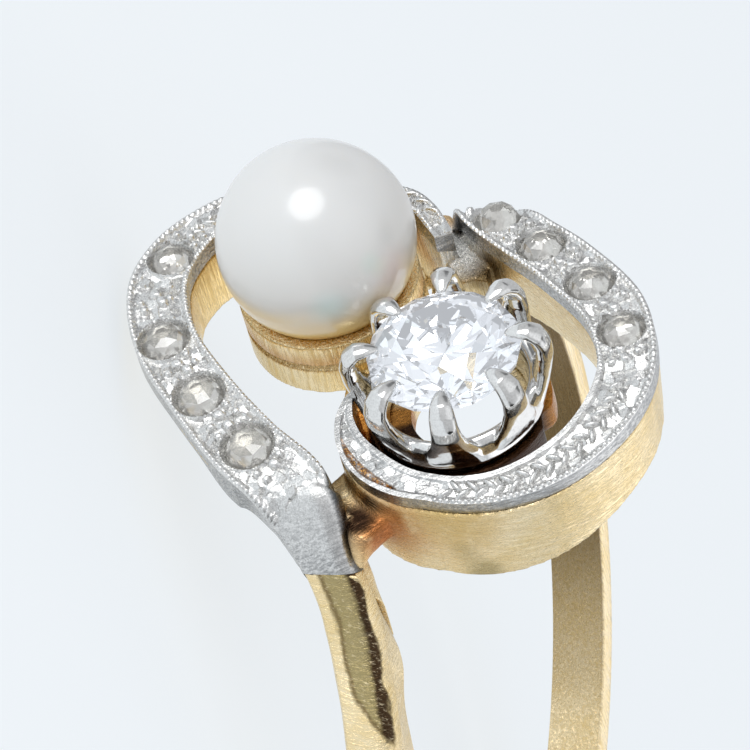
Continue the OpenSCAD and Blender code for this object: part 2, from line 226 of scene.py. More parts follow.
# Materials. Patterns are read in the ring's own millimetres, stood up.
class ShaderTree:
    # each method adds what it is named for, and gives back the output
    def __init__(self, owner):
        owner.use_nodes = True
        self.nodes, self.links = owner.node_tree.nodes, owner.node_tree.links

    def add(self, kind, **settings):
        node = self.nodes.new("ShaderNode" + kind)
        for name, value in settings.items():
            setattr(node, name, value)
        return node

    def feed(self, node, values):
        # another node's output is linked to the named socket, and a plain value is set on it
        for name, value in values.items():
            if isinstance(value, bpy.types.NodeSocket):
                self.links.new(value, node.inputs[name])
            else:
                node.inputs[name].default_value = value

    def maths(self, operation, *values):
        node = self.add("Math", operation=operation)
        self.feed(node, dict(enumerate(values)))
        return node.outputs["Value"]

    def plus(self, a, b):
        return self.maths("ADD", a, b)

    def times(self, *factors):
        product = factors[0]
        for factor in factors[1:]:
            product = self.maths("MULTIPLY", product, factor)
        return product

    def vector(self, operation, *values):
        node = self.add("VectorMath", operation=operation)
        self.feed(node, dict(enumerate(values)))
        return node.outputs["Value" if operation in ("DISTANCE", "DOT_PRODUCT", "LENGTH") else "Vector"]

    def ranged(self, value, low, high, toLow=0.0, toHigh=1.0):
        node = self.add("MapRange", interpolation_type="SMOOTHSTEP")
        ends = {"From Min": low, "From Max": high, "To Min": toLow, "To Max": toHigh}
        self.feed(node, {"Value": value, **ends})
        return node.outputs["Result"]

    def mix(self, share, a, b, kind="RGBA"):
        node = self.add("Mix", data_type=kind)
        self.feed(node, {"Factor": share, "A": a, "B": b})
        return node.outputs["Result"]

    def painted(self, name):
        return self.add("Attribute", attribute_name=name).outputs["Fac"]

    def split(self, point):
        node = self.add("SeparateXYZ")
        self.links.new(point, node.inputs["Vector"])
        return node.outputs

    def objectPoint(self):
        return self.add("TexCoord").outputs["Object"]

    def ringPoint(self):
        # object coordinates turned back to the upright ring, in millimetres
        back = leanTurn.to_3x3().inverted()
        node = self.add("Mapping", vector_type="POINT")
        self.feed(node, {
            "Vector": self.objectPoint(), "Scale": [1 / resting["metresPerMm"]] * 3,
            "Rotation": back.to_euler("XYZ"), "Location": -(back @ Vector(resting["shift"])),
        })
        return node.outputs["Vector"]

    def stretched(self, point, scale, turn=(0, 0, 0)):
        # the pattern is packed scale times as close along each of its own axes, which are turned first
        node = self.add("Mapping", vector_type="TEXTURE")
        turned = [radians(a) for a in turn]
        self.feed(node, {"Vector": point, "Scale": [1 / k for k in scale], "Rotation": turned})
        return node.outputs["Vector"]

    def noise(self, vector, scale, detail=4, roughness=0.6):
        node = self.add("TexNoise")
        self.feed(node, {"Vector": vector, "Scale": scale, "Detail": detail, "Roughness": roughness})
        return node.outputs["Fac"]

    def scratches(self, point, scale, turn, low, high, pattern=(1.0, 3, 0.75)):
        return self.ranged(self.noise(self.stretched(point, scale, turn), *pattern), low, high)

    def near(self, point, spot, reach, soft):
        # 1 within reach of a spot, falling to 0 over its soft share
        away = self.vector("DISTANCE", point, spot)
        return self.ranged(away, reach * (1 - soft), reach, 1.0, 0.0)

    def bump(self, heights, strength, distance, **more):
        node = self.add("Bump")
        self.feed(node, {"Height": heights, "Strength": strength, "Distance": distance, **more})
        return node.outputs["Normal"]


def newMaterial(name):
    material = bpy.data.materials.new(name)
    tree = ShaderTree(material)
    return material, tree, tree.nodes["Principled BSDF"]


bumpDepth = 0.00002
goldLook = {
    "pale": (0.97, 0.82, 0.55, 1), "warm": (0.87, 0.66, 0.32, 1), "amber": (0.50, 0.22, 0.05, 1),
    "brown": (0.045, 0.022, 0.012, 1), "olive": (0.36, 0.29, 0.13, 1), "dusk": (0.17, 0.11, 0.045, 1),
    "ochre": (0.66, 0.47, 0.17, 1), "red": (0.40, 0.12, 0.03, 1), "white": (0.82, 0.81, 0.78, 1),
    "roughness": (0.16, 0.42), "scratch": 0.7, "edge": 0.00004, "edgeSamples": 4,
    # how far the brush marks and the clouds bring in the warm tone, and the fine grain the bump
    "brushTone": 0.75, "cloud": (0.6, 4), "cloudTone": (0.3, 0.75, 0.0, 0.6),
    "fine": (9, 4, 0.7), "fineShare": 0.4,
    # scratches: closeness along each axis, turn, range
    "level": ((1.6, 1.6, 24), (6, -9, 0), 0.35, 0.7), "crossed": ((2.4, 2.4, 30), (-24, 22, 0), 0.45, 0.75),
    "upright": ((15, 15, 1.1), (0, 0, 0), 0.35, 0.7), "levelShare": 0.6, "crossedShare": 0.4,
    # the way from the diamond's side to the pearl's, and the range in which the marks change
    "pearlWay": (0.65, 0.76, 0), "pearlSide": (0.2, 0.9),
    # tarnished and shaded places: tone, place, reach, share
    "spots": [
        ("amber", (-4.3, -0.3, 9.5), 1.5, 0.8), ("amber", (-3.9, -1.5, 10.0), 2.2, 0.3),
        ("dusk", (-3.1, 0.9, 9.8), 1.0, 0.9), ("red", (-4.5, -0.3, 9.5), 0.75, 0.8),
        ("brown", (-4.35, 0.3, 9.7), 0.8, 1.0), ("dusk", (3.3, -1.35, 9.7), 0.95, 0.95),
        ("amber", (4.2, 0.1, 9.7), 1.5, 0.6), ("dusk", (2.96, -1.5, 10.3), 1.2, 0.6),
        ("ochre", (2.2, 4.8, 9.9), 2.7, 0.75), ("ochre", (-0.6, 4.4, 9.8), 2.3, 0.8),
        ("ochre", (2.0, 1.95, 9.5), 2.9, 0.45), ("white", (3.65, -0.4, 10.2), 1.3, 1.6),
        ("olive", (-4.5, -2.1, 8.85), 0.5, 0.4), ("olive", (-4.45, -2.45, 8.2), 0.65, 0.7),
        ("dusk", (-1.5, 0.9, 9.6), 1.0, 0.8), ("white", (-4.75, 1.9, 8.9), 1.1, 1.4),
        ("ochre", (-4.3, -2.0, 9.9), 1.4, 0.6), ("ochre", (-3.3, -4.2, 9.9), 1.0, 0.5),
    ],
    "spotSoft": 0.75, "mottle": (2.4, 5, 0.65), "mottleRange": (0.3, 0.5), "mottleLeast": 0.6,
    # painted shade in the well under the claws: its top, the way to its dark side, and where amber and then
    # brown begin
    "wellAt": (-0.99, -1.54, 9.4), "wellReach": 3.3, "wellSoft": 0.25, "wellTop": (10.25, 10.5),
    "darkWay": (-0.985, -0.174, 0), "amberFrom": (-0.35, -0.1), "brownFrom": (0.08, 0.3),
    # painted shade in deeper amber on the band round the cup, between two heights
    "cupBand": (10.08, 10.6), "cupFade": 0.03, "cupRise": 0.05, "cupAt": (2.01, 1.95, 10.3), "cupReach": 2.5,
    "cupSoft": 0.08, "cupShare": 0.6,
}


def brushMarks(tree, point):
    # fine level scratches on the diamond's side, upright file marks on the pearl's
    look = goldLook
    level = tree.times(tree.scratches(point, *look["level"]), look["levelShare"])
    crossed = tree.times(tree.scratches(point, *look["crossed"]), look["crossedShare"])
    pearlSide = tree.ranged(tree.vector("DOT_PRODUCT", point, look["pearlWay"]), *look["pearlSide"])
    return tree.mix(pearlSide, tree.plus(level, crossed), tree.scratches(point, *look["upright"]), "FLOAT")


def goldMaterial(name, marksAndShade):
    material, tree, shader = newMaterial(name)
    look = goldLook
    point = tree.ringPoint()
    brush = brushMarks(tree, point)
    cloud = tree.ranged(tree.noise(point, *look["cloud"]), *look["cloudTone"])
    tone = tree.plus(tree.times(brush, look["brushTone"]), cloud)
    colour = tree.mix(tone, look["pale"], look["warm"])
    colour = marksAndShade(tree, point, colour)
    fine = tree.times(tree.noise(point, *look["fine"]), look["fineShare"])
    edge = tree.add("Bevel", samples=look["edgeSamples"])
    tree.feed(edge, {"Radius": look["edge"]})
    tree.feed(shader, {
        "Base Color": colour, "Metallic": 1.0, "Roughness": tree.ranged(brush, 0.0, 1.0, *look["roughness"]),
        "Normal": tree.bump(
            tree.plus(brush, fine), look["scratch"], bumpDepth, Normal=edge.outputs["Normal"]),
    })
    return material


def headWearAndShade(tree, point, colour):
    # the tarnished and shaded places first, then the painted shade in the well and on the band round the cup
    look = goldLook
    mottle = tree.noise(point, *look["mottle"])
    for tint, spot, reach, share in look["spots"]:
        broken = tree.ranged(mottle, *look["mottleRange"], look["mottleLeast"] * share, share)
        patch = tree.times(tree.near(point, spot, reach, look["spotSoft"]), broken)
        colour = tree.mix(tree.maths("MINIMUM", patch, 1.0), colour, look[tint])
    height = tree.split(point)["Z"]
    # painted shade: amber, then brown towards the dark side of the well under the claws
    below = tree.ranged(height, *look["wellTop"], 1.0, 0.0)
    inWell = tree.times(tree.near(point, look["wellAt"], look["wellReach"], look["wellSoft"]), below)
    level = tree.vector("MULTIPLY", tree.vector("SUBTRACT", point, look["wellAt"]), (1, 1, 0))
    facing = tree.vector("DOT_PRODUCT", tree.vector("NORMALIZE", level), look["darkWay"])
    for tint, start in (("amber", look["amberFrom"]), ("brown", look["brownFrom"])):
        colour = tree.mix(tree.times(inWell, tree.ranged(facing, *start)), colour, look[tint])
    # painted shade on the band round the cup
    bottom, top = look["cupBand"]
    under = tree.ranged(height, top + look["cupFade"], bottom + look["cupFade"])
    over = tree.ranged(height, bottom - look["cupFade"], bottom + look["cupRise"])
    atCup = tree.near(point, look["cupAt"], look["cupReach"], look["cupSoft"])
    return tree.mix(tree.times(under, over, atCup, look["cupShare"]), colour, look["amber"])


shankLook = {
    # the painted dark reflection, a strip along the near shank: its own waviness, the far edge, the near
    # edge, and how it runs out lower down
    "ripple": ((2.5, 2.5, 0.9), (1.0, 4), (0.3, 0.7, -0.07, 0.07)),
    "reflectionTo": (0.32, 0.58), "reflectionFrom": (-0.86, -0.74),
    "runOut": (5.4, 6.9, 1.4, 0.0), "onTop": (0.03, 0.1), "nearSide": (-5.0, -4.0), "markedAndShaded": 0.9,
    # its painted darker line and dark edge, and the scratches across it painted lighter
    "lineFrom": (0.2, 0.4), "line": 0.85,
    "narrow": (5.5, 6.1, 0.6, 0.0), "darkTo": (-0.56, -0.34), "dark": 0.95,
    "crossing": ((6, 6, 20), (25, 35, 0), 0.55, 0.7), "lit": 0.5,
    # painted shade inside the far shank
    "inside": (0.9, 1.0), "farSide": (3.0, 5.0), "dusk": (-7.5, -3.8, 0.4, 0.95),
}


def shankPaintedLight(tree, point, colour):
    # a painted dark reflection in a strip along the near shank, darkest at its edge and run out lower down,
    # with a painted darker line, scratches painted lighter, and painted shade inside the far shank
    look = shankLook
    place = tree.split(point)
    deep = tree.painted("deep")
    scale, pattern, sway = look["ripple"]
    ripple = tree.ranged(tree.noise(tree.stretched(point, scale), *pattern), *sway)
    across = tree.plus(tree.painted("across"), ripple)
    onTop = tree.ranged(deep, *look["onTop"], 1.0, 0.0)
    onTop = tree.times(onTop, tree.ranged(place["X"], *look["nearSide"], 1.0, 0.0))
    sunk = tree.plus(across, tree.ranged(place["Z"], *look["runOut"]))
    # painted dark reflection along the near shank
    markedAndShaded = tree.times(
        tree.ranged(sunk, *look["reflectionTo"], 1.0, 0.0), onTop, tree.ranged(across, *look["reflectionFrom"]))
    line = tree.times(markedAndShaded, tree.ranged(sunk, *look["lineFrom"]), look["line"])
    narrowed = tree.plus(across, tree.ranged(place["Z"], *look["narrow"]))
    dark = tree.times(tree.ranged(narrowed, *look["darkTo"], 1.0, 0.0), markedAndShaded, look["dark"])
    lit = tree.times(markedAndShaded, tree.scratches(point, *look["crossing"]), look["lit"])
    # painted shade inside the far shank
    inside = tree.times(tree.ranged(deep, *look["inside"]), tree.ranged(place["X"], *look["farSide"]))
    inside = tree.times(inside, tree.ranged(place["Z"], *look["dusk"]))
    layers = (
        (tree.times(markedAndShaded, look["markedAndShaded"]), "olive"), (line, "dusk"), (dark, "brown"), (lit, "pale"),
        (inside, "dusk"))
    for share, tint in layers:
        colour = tree.mix(share, colour, goldLook[tint])
    return colour


platinumLook = {
    "light": (0.84, 0.835, 0.82, 1), "grey": (0.48, 0.475, 0.465, 1), "darkened": (0.2, 0.205, 0.21, 1),
    "tarnish": (0.11, 0.06, 0.06, 1), "amber": (0.6, 0.33, 0.1, 1), "grainRange": (0.35, 0.7, 0.0),
    # patterns: closeness along each axis, turn, and the noise itself
    "rub": ((1.6, 13, 9), (0, 38, 31)), "rubNoise": (1.5, 5, 0.72),
    "grain": (22, 3, 0.7), "rubRange": (0.3, 0.7),
    "filed": ((1.1, 15, 15), (0, 0, 122)), "filedNoise": (1.0, 4, 0.75), "plainFrom": (4.2, 4.7),
    "filedTone": (0.35, 0.65, 0.0, 0.4),
    "darkeningBreak": (0.3, 0.7, -0.25, 0.25), "darkeningRange": (0.1, 1.0, 0.0, 0.95),
    "stainNoise": (5, 3), "stainBreak": (0.35, 0.55, 0.15, 1.0), "stainTone": (0.42, 0.58),
    "rubShares": (0.4, 0.6),
}
# the two finishes: range of roughness, depth of the scratches, share of grey
worked = {"roughness": (0.12, 0.34), "scratch": 0.8, "contrast": 0.7}
bright = {"roughness": (0.06, 0.16), "scratch": 0.03, "contrast": 0.35}


def platinumMaterial(name, finish, markedAndShaded=False):
    material, tree, shader = newMaterial(name)
    look = platinumLook
    point = tree.ringPoint()
    rub = tree.noise(tree.stretched(point, *look["rub"]), *look["rubNoise"])
    grain = tree.noise(point, *look["grain"])
    greyed = tree.ranged(grain, *look["grainRange"], finish["contrast"])
    colour = tree.mix(greyed, look["light"], look["grey"])
    if markedAndShaded:
        filed = tree.noise(tree.stretched(point, *look["filed"]), *look["filedNoise"])
        colour = faceMarksAndShade(tree, point, grain, filed, colour)
        ofRub, ofFiled = look["rubShares"]
        rub = tree.plus(tree.times(rub, ofRub), tree.times(filed, ofFiled))
    tree.feed(shader, {
        "Base Color": colour, "Metallic": 1.0, "Normal": tree.bump(rub, finish["scratch"], bumpDepth),
        "Roughness": tree.ranged(rub, *look["rubRange"], *finish["roughness"]),
    })
    return material


def faceMarksAndShade(tree, point, grain, filed, colour):
    # file marks on the plain shoulders, the painted dark reflection on the border and finger side of the near
    # one, painted shade on the walls, the diamond ribbon darker towards its free end, and the tarnished end
    # of the diamond's ribbon
    look = platinumLook
    plain = tree.ranged(tree.maths("ABSOLUTE", tree.split(point)["X"]), *look["plainFrom"])
    colour = tree.mix(tree.times(plain, tree.ranged(filed, *look["filedTone"])), colour, look["darkened"])
    # the darkened mark: painted dark reflection and shade, and the darker free end, broken up by the file
    # marks
    darkening = tree.plus(tree.painted("darkened"), tree.ranged(filed, *look["darkeningBreak"]))
    colour = tree.mix(tree.ranged(darkening, *look["darkeningRange"]), colour, look["darkened"])
    broken = tree.ranged(tree.noise(point, *look["stainNoise"]), *look["stainBreak"])
    stain = tree.mix(tree.ranged(grain, *look["stainTone"]), look["tarnish"], look["amber"])
    return tree.mix(tree.times(tree.painted("tarnish"), broken), colour, stain)


pearlLook = {
    # glow and deep are painted reflections of the gold cup on the pearl's lower part
    "body": (0.76, 0.735, 0.69, 1), "crown": (0.70, 0.70, 0.69, 1), "glow": (1.0, 0.71, 0.25, 1),
    "deep": (0.95, 0.55, 0.14, 1), "crownFrom": (-0.5, 2.2), "cloud": (0.8, 4), "cloudShare": 0.5,
    "goldReflectionFrom": (-0.95, 0.6, 1.0, 0.0), "deepReflectionFrom": (-1.4, -0.6, 0.85, 0.0), "reflectionShare": 0.6,
    # faint painted reflections in tinted spots: place, reach, colour
    "spots": [
        ((0.48, 0.05, 12.95), 0.5, (0.62, 0.80, 0.70, 1)), ((0.6, -0.1, 12.6), 0.45, (0.72, 0.84, 0.66, 1)),
        ((0.95, -0.1, 12.2), 0.9, (0.83, 0.66, 0.60, 1)), ((-0.1, 1.2, 12.2), 0.7, (0.60, 0.76, 0.74, 1)),
    ],
    "surface": {
        "Roughness": 0.3, "IOR": 1.55, "Coat Weight": 0.7, "Coat Roughness": 0.12, "Coat IOR": 1.6,
        "Subsurface Weight": 0.15, "Subsurface Radius": (1.0, 0.85, 0.7), "Subsurface Scale": 0.0004,
    },
}


def pearlMaterial(name):
    material, tree, shader = newMaterial(name)
    look = pearlLook
    point = tree.ringPoint()
    height = tree.maths("SUBTRACT", tree.split(point)["Z"], ring["pearlAt"][2])
    colour = tree.mix(tree.ranged(height, *look["crownFrom"]), look["body"], look["crown"])
    # painted reflection of the gold cup, warm low on the pearl and deeper at its bottom
    low = tree.plus(height, tree.times(tree.noise(point, *look["cloud"]), look["cloudShare"]))
    colour = tree.mix(tree.ranged(low, *look["goldReflectionFrom"]), colour, look["glow"])
    colour = tree.mix(tree.ranged(low, *look["deepReflectionFrom"]), colour, look["deep"])
    # faint painted reflections in tinted spots
    for spot, reach, tint in look["spots"]:
        colour = tree.mix(tree.times(tree.near(point, spot, reach, 1.0), look["reflectionShare"]), colour, tint)
    tree.feed(shader, {"Base Color": colour, **look["surface"]})
    return material


# stones: tint, roughness, refraction, see-through share, painted glow
stoneLook = {
    "diamond": ((0.92, 0.95, 1, 1), 0.0, 2.42, 1.0, 0.07),
    "rose_diamond": ((0.86, 0.84, 0.79, 1), 0.02, 1.95, 0.85, 0.01),
}


def stoneMaterial(name):
    material, tree, shader = newMaterial(name)
    tint, roughness, refraction, seeThrough, paintedGlow = stoneLook[name]
    # the emission is a faint painted glow
    tree.feed(shader, {
        "Base Color": tint, "Roughness": roughness, "IOR": refraction, "Transmission Weight": seeThrough,
        "Emission Color": tint, "Emission Strength": paintedGlow,
    })
    return material


gold = goldMaterial("brushed_gold", headWearAndShade)
shankGold = goldMaterial("shank_gold", shankPaintedLight)
platinum = platinumMaterial("worked_platinum", worked, markedAndShaded=True)
polished = platinumMaterial("polished_platinum", bright)
nacre = pearlMaterial("nacre")
clear = stoneMaterial("diamond")
grey = stoneMaterial("rose_diamond")
print("materials ready")

# A plain shoulder's or shank's section: its fall from the middle and its rounded edges,
# more of both to the near side.
crownWork = {
    "fall": 0.1, "edgeRound": 0.16, "nearSide": (-0.3, 0.7),
    "roundShares": (0.6, 0.7), "fallShares": (0.4, 0.6), "leanFrom": 0.2, "lean": 0.2,
}


def crownDrop(share, half, leftward):
    # how far a plain shoulder or shank falls away from its middle, more towards the finger's near end
    work = crownWork
    edge = half * (1 - np.abs(share))
    near = softStep(-share * leftward, *work["nearSide"])
    least, more = work["roundShares"]
    r = work["edgeRound"] * (least + more * near)
    rounding = r - np.sqrt(np.maximum(r * r - np.maximum(r - edge, 0) ** 2, 0))
    lean = np.clip(-share * leftward - work["leanFrom"], 0, 1)
    least, more = work["fallShares"]
    return work["fall"] * share * share * (least + more * near) + rounding + work["lean"] * lean * lean


# The two white metal faces: one even sheet each, worked in relief, with the shoulder left plain.
faceWork = {
    "step": 0.026, "lanes": 59, "past": 0.9,
    # the milgrain edge and the channel inside it
    "rim": 0.13, "rimFade": (-0.01, 0.06), "rimDrop": 0.025, "floor": 0.075,
    "beadR": 0.06, "beadStep": 0.135, "beadLift": 0.05, "beadIn": 0.065,
    # where the work begins and ends along the ribbon
    "startFade": (-0.2, 0.15), "endFade": 0.4, "innerFade": 0.5, "endPlain": 0.5,
    # seats: the hollow under the stone, its wall, and the lip round it
    "seatDepth": 0.3, "seatWall": 0.13, "seatGap": 0.035, "seatEdge": 0.02, "wallRun": 0.08,
    "seatFloor": 0.92, "lip": 0.08, "lipHigh": 0.02,
    # cuts of the graver
    "cutSize": 0.23, "cutTilt": 0.3, "cutField": 2, "cutChance": 0.4, "cutSpare": 4,
    # unevenness of the whole face
    "wave": 0.012, "wavesPerMm": 2.5, "waveRow": 5, "waveFade": 0.1, "liftMost": 0.06,
    "stainDepth": 0.05, "stainWidth": 0.28, "stainAt": 0.5, "stainFade": 0.12, "stainTaper": 0.6,
    # the pearl ribbon's outer edge bends down: everywhere, from its shoulder, and at the shoulder's middle
    "skirt": (0.2, 0.4, 0.35), "skirtFrom": (2.8, 3.8), "skirtMost": (4.0, 4.5, 4.9, 5.3), "rimShare": 0.88,
    # darkening: painted dark reflection on the border and on the finger side, a darker free end, and painted
    # shade on the walls
    "borderShade": (0.45, 4.6, 5.4), "sideShade": (0.7, 0.9, 3.9, 4.4),
    "tipDark": (0.45, 0.8, 0.4), "wallShade": 0.65,
}


def dome(du, dv, r):
    return np.sqrt(np.maximum(r * r - du * du - dv * dv, 0)) / r


def cutFacets(u, v, size, tilt, seed):
    # small flat cuts at chance angles, like those of a graver
    rng = np.random.default_rng(seed)
    halfField, chance, spare = (faceWork[k] for k in ("cutField", "cutChance", "cutSpare"))
    across = int(2 * halfField / size) + spare
    lengthwise = int(u.max() / size) + spare
    seedU = (np.arange(lengthwise)[:, None] + rng.uniform(-chance, chance, (lengthwise, across))) * size
    seedV = (np.arange(across)[None] + rng.uniform(-chance, chance, (lengthwise, across))) * size - halfField
    tiltU, tiltV = rng.uniform(-tilt, tilt, (2, lengthwise, across))
    lift = rng.uniform(-0.5, 0.5, (lengthwise, across)) * size * tilt
    best = np.full(u.shape, np.inf)
    height = np.zeros(u.shape)
    iu, iv = np.round(u / size).astype(int), np.round((v + halfField) / size).astype(int)
    for du in (-1, 0, 1):
        for dv in (-1, 0, 1):
            a, b = np.clip(iu + du, 0, lengthwise - 1), np.clip(iv + dv, 0, across - 1)
            offU, offV = u - seedU[a, b], v - seedV[a, b]
            away = offU ** 2 + offV ** 2
            near = away < best
            best = np.where(near, away, best)
            height = np.where(near, tiltU[a, b] * offU + tiltV[a, b] * offV + lift[a, b], height)
    return height


def seatHeight(height, off, r):
    # a stone's seat worked into the surface: off is the distance from its middle
    work = faceWork
    inSeat = r + work["seatGap"]
    seatEdge = inSeat + work["seatEdge"]
    lip = work["lipHigh"] - (work["lipHigh"] + work["floor"]) * softStep(off, seatEdge, inSeat + work["lip"])
    height = np.where(off < inSeat + work["lip"], np.maximum(height, lip), height)
    run = work["wallRun"] * r + work["seatGap"] + work["seatEdge"]
    wall = -work["seatWall"] * np.clip((seatEdge - off) / run, 0, 1)
    height = np.where(off < seatEdge, wall, height)
    return np.where(off < work["seatFloor"] * r, -work["seatDepth"], height)


def faceRelief(along, across, half, x, y, side, plan):
    # height of the worked surface over the plain face, in millimetres
    work = faceWork
    edge = half - np.abs(across)
    started = softStep(along, *[plan["from"] + k for k in work["startFade"]])
    plainEnd = softStep(along, plan["to"], plan["to"] + work["endFade"])
    channel = softStep(edge, *[work["rim"] + k for k in work["rimFade"]]) * (1 - work["endPlain"] * plainEnd)
    cuts = cutFacets(along, across, work["cutSize"], work["cutTilt"], plan["seed"])
    height = channel * (cuts - work["floor"])
    phase = (along + np.where(across > 0, 0, work["beadStep"] / 2)) / work["beadStep"]
    beadU = (phase - np.round(phase)) * work["beadStep"]
    bead = dome(beadU, edge - work["beadIn"], work["beadR"])
    innerEnd = softStep(along, plan["innerTo"], plan["innerTo"] + work["innerFade"])
    kept = np.where(across > 0, 1 - plainEnd, 1 - innerEnd)
    height = height + (work["beadLift"] * bead - work["rimDrop"] * (1 - channel)) * kept
    for u, v, lu, lv, turn, lift in plan["grains"]:
        c, s = cos(turn), sin(turn)
        du, dv = along - u, across - v
        bump = dome((du * c + dv * s) / lu, (dv * c - du * s) / lv, 1.0)
        grain = -work["floor"] + (work["floor"] + lift) * bump ** grainWork["fullness"]
        height = np.where(bump > 0, np.maximum(height, grain), height)
    for sx, sy, r in plan["stones"]:
        height = seatHeight(height, np.hypot(x - sx, y - sy), r)
    plain = -crownDrop(across / half, half, side * -1)
    return height * started + plain * (1 - started)


def paintedShadeShare(x, share):
    # painted dark reflection: the near shoulder darkens towards its border and along its finger side
    most, start, end = faceWork["borderShade"]
    low, high, sideStart, sideEnd = faceWork["sideShade"]
    border = most * softStep(-x, start, end)
    return np.maximum(border, softStep(-share, low, high) * softStep(-x, sideStart, sideEnd))


def tarnishShare(along, share, plan):
    # a narrow stain beside the outer edge of a ribbon's free end
    work = faceWork
    if not plan["stain"]:
        return 0 * share
    start, end = plan["stain"]
    t = np.clip((along[:, None] - start) / (end - start), 0, 1)
    width = work["stainWidth"] * np.sin(np.pi * t) ** work["stainTaper"]
    return softStep(width - np.abs(share - work["stainAt"]), 0.0, work["stainFade"]) * (t > 0) * (t < 1)


def stopAtBorder(x, y, side):
    # a lane that runs past the border stops on it
    border = side * ring["borderX"]
    for k in range(x.shape[1]):
        past = x[:, k] * side > ring["borderX"]
        if past.any():
            i = np.nonzero(past)[0].max()
            t = (border - x[i, k]) / (x[i + 1, k] - x[i, k])
            y[: i + 1, k] = y[i, k] + (y[i + 1, k] - y[i, k]) * t
            x[: i + 1, k] = border


def ribbonFace(name, rows, side, plan):
    work = faceWork
    points, normals, widths, along = ribbonLine(rows, work["step"])
    keep = points[:, 0] * side < ring["borderX"] + work["past"]
    points, normals, widths, along = points[keep], normals[keep], widths[keep], along[keep]
    across = widths[:, None] / 2 * np.linspace(-1, 1, work["lanes"])[None]
    x = points[:, 0:1] + normals[:, 0:1] * across
    y = points[:, 1:2] + normals[:, 1:2] * across
    stopAtBorder(x, y, side)
    half = np.repeat(widths[:, None] / 2, work["lanes"], 1)
    share = across / half
    relief = faceRelief(np.repeat(along[:, None], work["lanes"], 1), across, half, x, y, side, plan)
    stain = tarnishShare(along, share, plan)
    relief -= work["stainDepth"] * stain
    scale = work["wavesPerMm"]
    wave = [noise.noise((a * scale, b * scale, work["waveRow"])) for a, b in zip(x.ravel(), y.ravel())]
    faded = softStep(half - np.abs(across), 0.0, work["waveFade"])
    wave = work["wave"] * np.array(wave).reshape(x.shape) * faded
    lift = np.minimum(relief + wave, work["liftMost"])
    slope = headSlope(x, side)
    length = np.sqrt(1 + slope ** 2)
    top = np.stack([x - lift * slope / length, y, headZ(x, side) + lift / length], 2)
    low = np.stack([x + ring["faceT"] * slope / length, y, headZ(x, side) - ring["faceT"] / length], 2)
    if side < 0:
        # the pearl's ribbon is bent down over its outer edge, furthest at the shoulder
        away = -x[:, -1]
        a, b, c, d = work["skirtMost"]
        bent = [1 + 0 * away, softStep(away, *work["skirtFrom"]), softStep(away, a, b) - softStep(away, c, d)]
        low[:, -1, 2] -= work["skirt"] @ np.array(bent)
        # painted dark reflection on the near shoulder
        darkened = paintedShadeShare(x, share)
    else:
        # the diamond ribbon is painted darker towards its free end
        most, before, after = work["tipDark"]
        darkened = most * softStep(along[:, None], plan["to"] - before, plan["to"] + after) + 0 * x
    rim = top * work["rimShare"] + low * (1 - work["rimShare"])
    # a loop runs over the top, down the outer wall, and up the inner one
    loops = np.concatenate([top, rim[:, -1:], low[:, -1:], low[:, :1], rim[:, :1]], 1)
    marks = {}
    # the walls carry the values of the face's edges, with at least a painted shade on them
    for mark, values, wallLeast in (("darkened", darkened, work["wallShade"]), ("tarnish", stain, 0)):
        walls = [np.maximum(values[:, k], wallLeast) for k in ([-1], [-1], [0], [0])]
        marks[mark] = np.concatenate([values] + walls, 1)
    piece = rolledSheet(name, loops, marks)
    smoothByAngle(piece)
    return piece


# Raised grains: in each gap between stones, then in the bright cut taper.
grainWork = {
    "radius": 0.14, "lift": 0.075, "fullness": 0.8, "before": 1.45, "after": 1.35, "oval": 0.85,
    # chance offset, how its pattern is stepped through, and the turn from one grain to the next
    "wiggle": 0.12, "wiggleSteps": (3.1, 1.7, 2), "turnEach": 0.5,
    # along and across the gap, size
    "gap": [
        (-0.02, -0.36, 0.8), (-0.16, -0.08, 1.15), (0.15, 0.02, 1.15), (0.0, 0.32, 0.8), (-0.3, 0.3, 0.8),
        (0.3, -0.3, 0.8),
    ],
    "taper": {"aside": 0.1, "long": 0.2, "wide": 0.075, "turn": 0.75, "lift": 0.06, "step": 0.2},
}


def grainRow(rows, stones, taperFrom, taperTo):
    # each grain: along, across, half length, half width, turn, lift
    work = grainWork
    spots = [alongOf(rows, x, y) for x, y, r in stones]
    ends = [spots[0] - work["before"]] + spots + [spots[-1] + work["after"]]
    grains = []
    stepI, stepK, row = work["wiggleSteps"]
    for i in range(len(ends) - 1):
        middle = (ends[i] + ends[i + 1]) / 2
        for k, (du, dv, share) in enumerate(work["gap"]):
            wiggle = work["wiggle"] * noise.noise((i * stepI, k * stepK, row))
            size, turn = work["radius"] * share, work["turnEach"] * k
            grains.append((middle + du + wiggle, dv - wiggle, size, size * work["oval"], turn, work["lift"]))
    taper = work["taper"]
    u, hand = taperFrom, -1
    while u < taperTo:
        aside, turn = taper["aside"] * hand, taper["turn"] * hand
        grains.append((u, aside, taper["long"], taper["wide"], turn, taper["lift"]))
        u += taper["step"]
        hand = -hand
    return grains


# the two faces: the side of the ring where each starts, and the places that bound its work, taper and stain
faces = [
    {
        "name": "pearl_ribbon_face", "node": "platinum_ribbon_pearl", "rows": pearlRibbon, "side": -1,
        "stones": pearlStones, "seed": 3, "from": (-4.3, 1.55), "to": (3.85, -0.22), "innerTo": (3.85, -0.22),
        "taper": (3.4, 5.4), "taperShort": 0.2, "stain": [],
    },
    {
        "name": "diamond_ribbon_face", "node": "platinum_ribbon_diamond", "rows": diamondRibbon, "side": 1,
        "stones": diamondStones, "seed": 8, "from": (4.9, -1.1), "to": (-4.1, -1.9), "innerTo": (-0.4, -5.55),
        "taper": (-1.3, -5.52), "taperShort": 0, "stain": [(-3.98, -0.9), (-2.7, 0.6)],
    },
]


